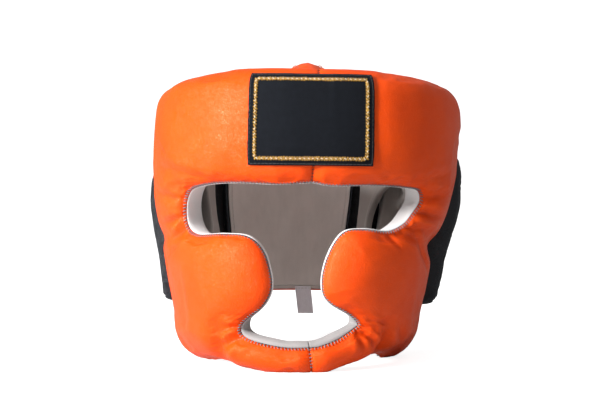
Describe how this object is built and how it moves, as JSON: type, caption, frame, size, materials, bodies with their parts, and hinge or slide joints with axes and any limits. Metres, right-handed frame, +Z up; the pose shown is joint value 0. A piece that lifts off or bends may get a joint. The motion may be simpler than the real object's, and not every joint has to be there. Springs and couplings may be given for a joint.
{
  "type": "muay thai head guard",
  "caption": "Padded leather head guard with cheek pads, chin bar, ear pockets, strap closure at the back and a bare woven badge on the brow.",
  "frame": {"origin": "middle of the guard's footprint, on the surface that it stands on", "axes": "+Z up, -Y the way the wearer faces, +X towards the wearer's left ear"},
  "size_m": [0.2496, 0.2506, 0.2267],
  "materials": {
    "orange_leather": "bright orange, semi-gloss, fine grain",
    "lining_suede": "off-white suede lining",
    "black_leather": "black, semi-gloss, crumpled",
    "black_webbing": "hook-and-loop strap",
    "badge_cloth": "woven badge",
    "gold_thread": "satin-stitched border",
    "label_cloth": "woven size label"
  },
  "bodies": {
    "root": {"front_pad_right": "orange_leather", "front_pad_left": "orange_leather", "front_lining_right": "lining_suede", "front_lining_left": "lining_suede", "ear_frame_right": "lining_suede", "ear_frame_left": "lining_suede", "ear_panel_right": "black_leather", "ear_panel_left": "black_leather", "back_pad": "orange_leather", "back_lining": "lining_suede", "closure_strap_right": "black_webbing", "closure_strap_left": "black_webbing", "crown_strap": "orange_leather", "badge": "badge_cloth", "badge_border": "gold_thread", "size_label": "label_cloth"}
  },
  "joints": []
}
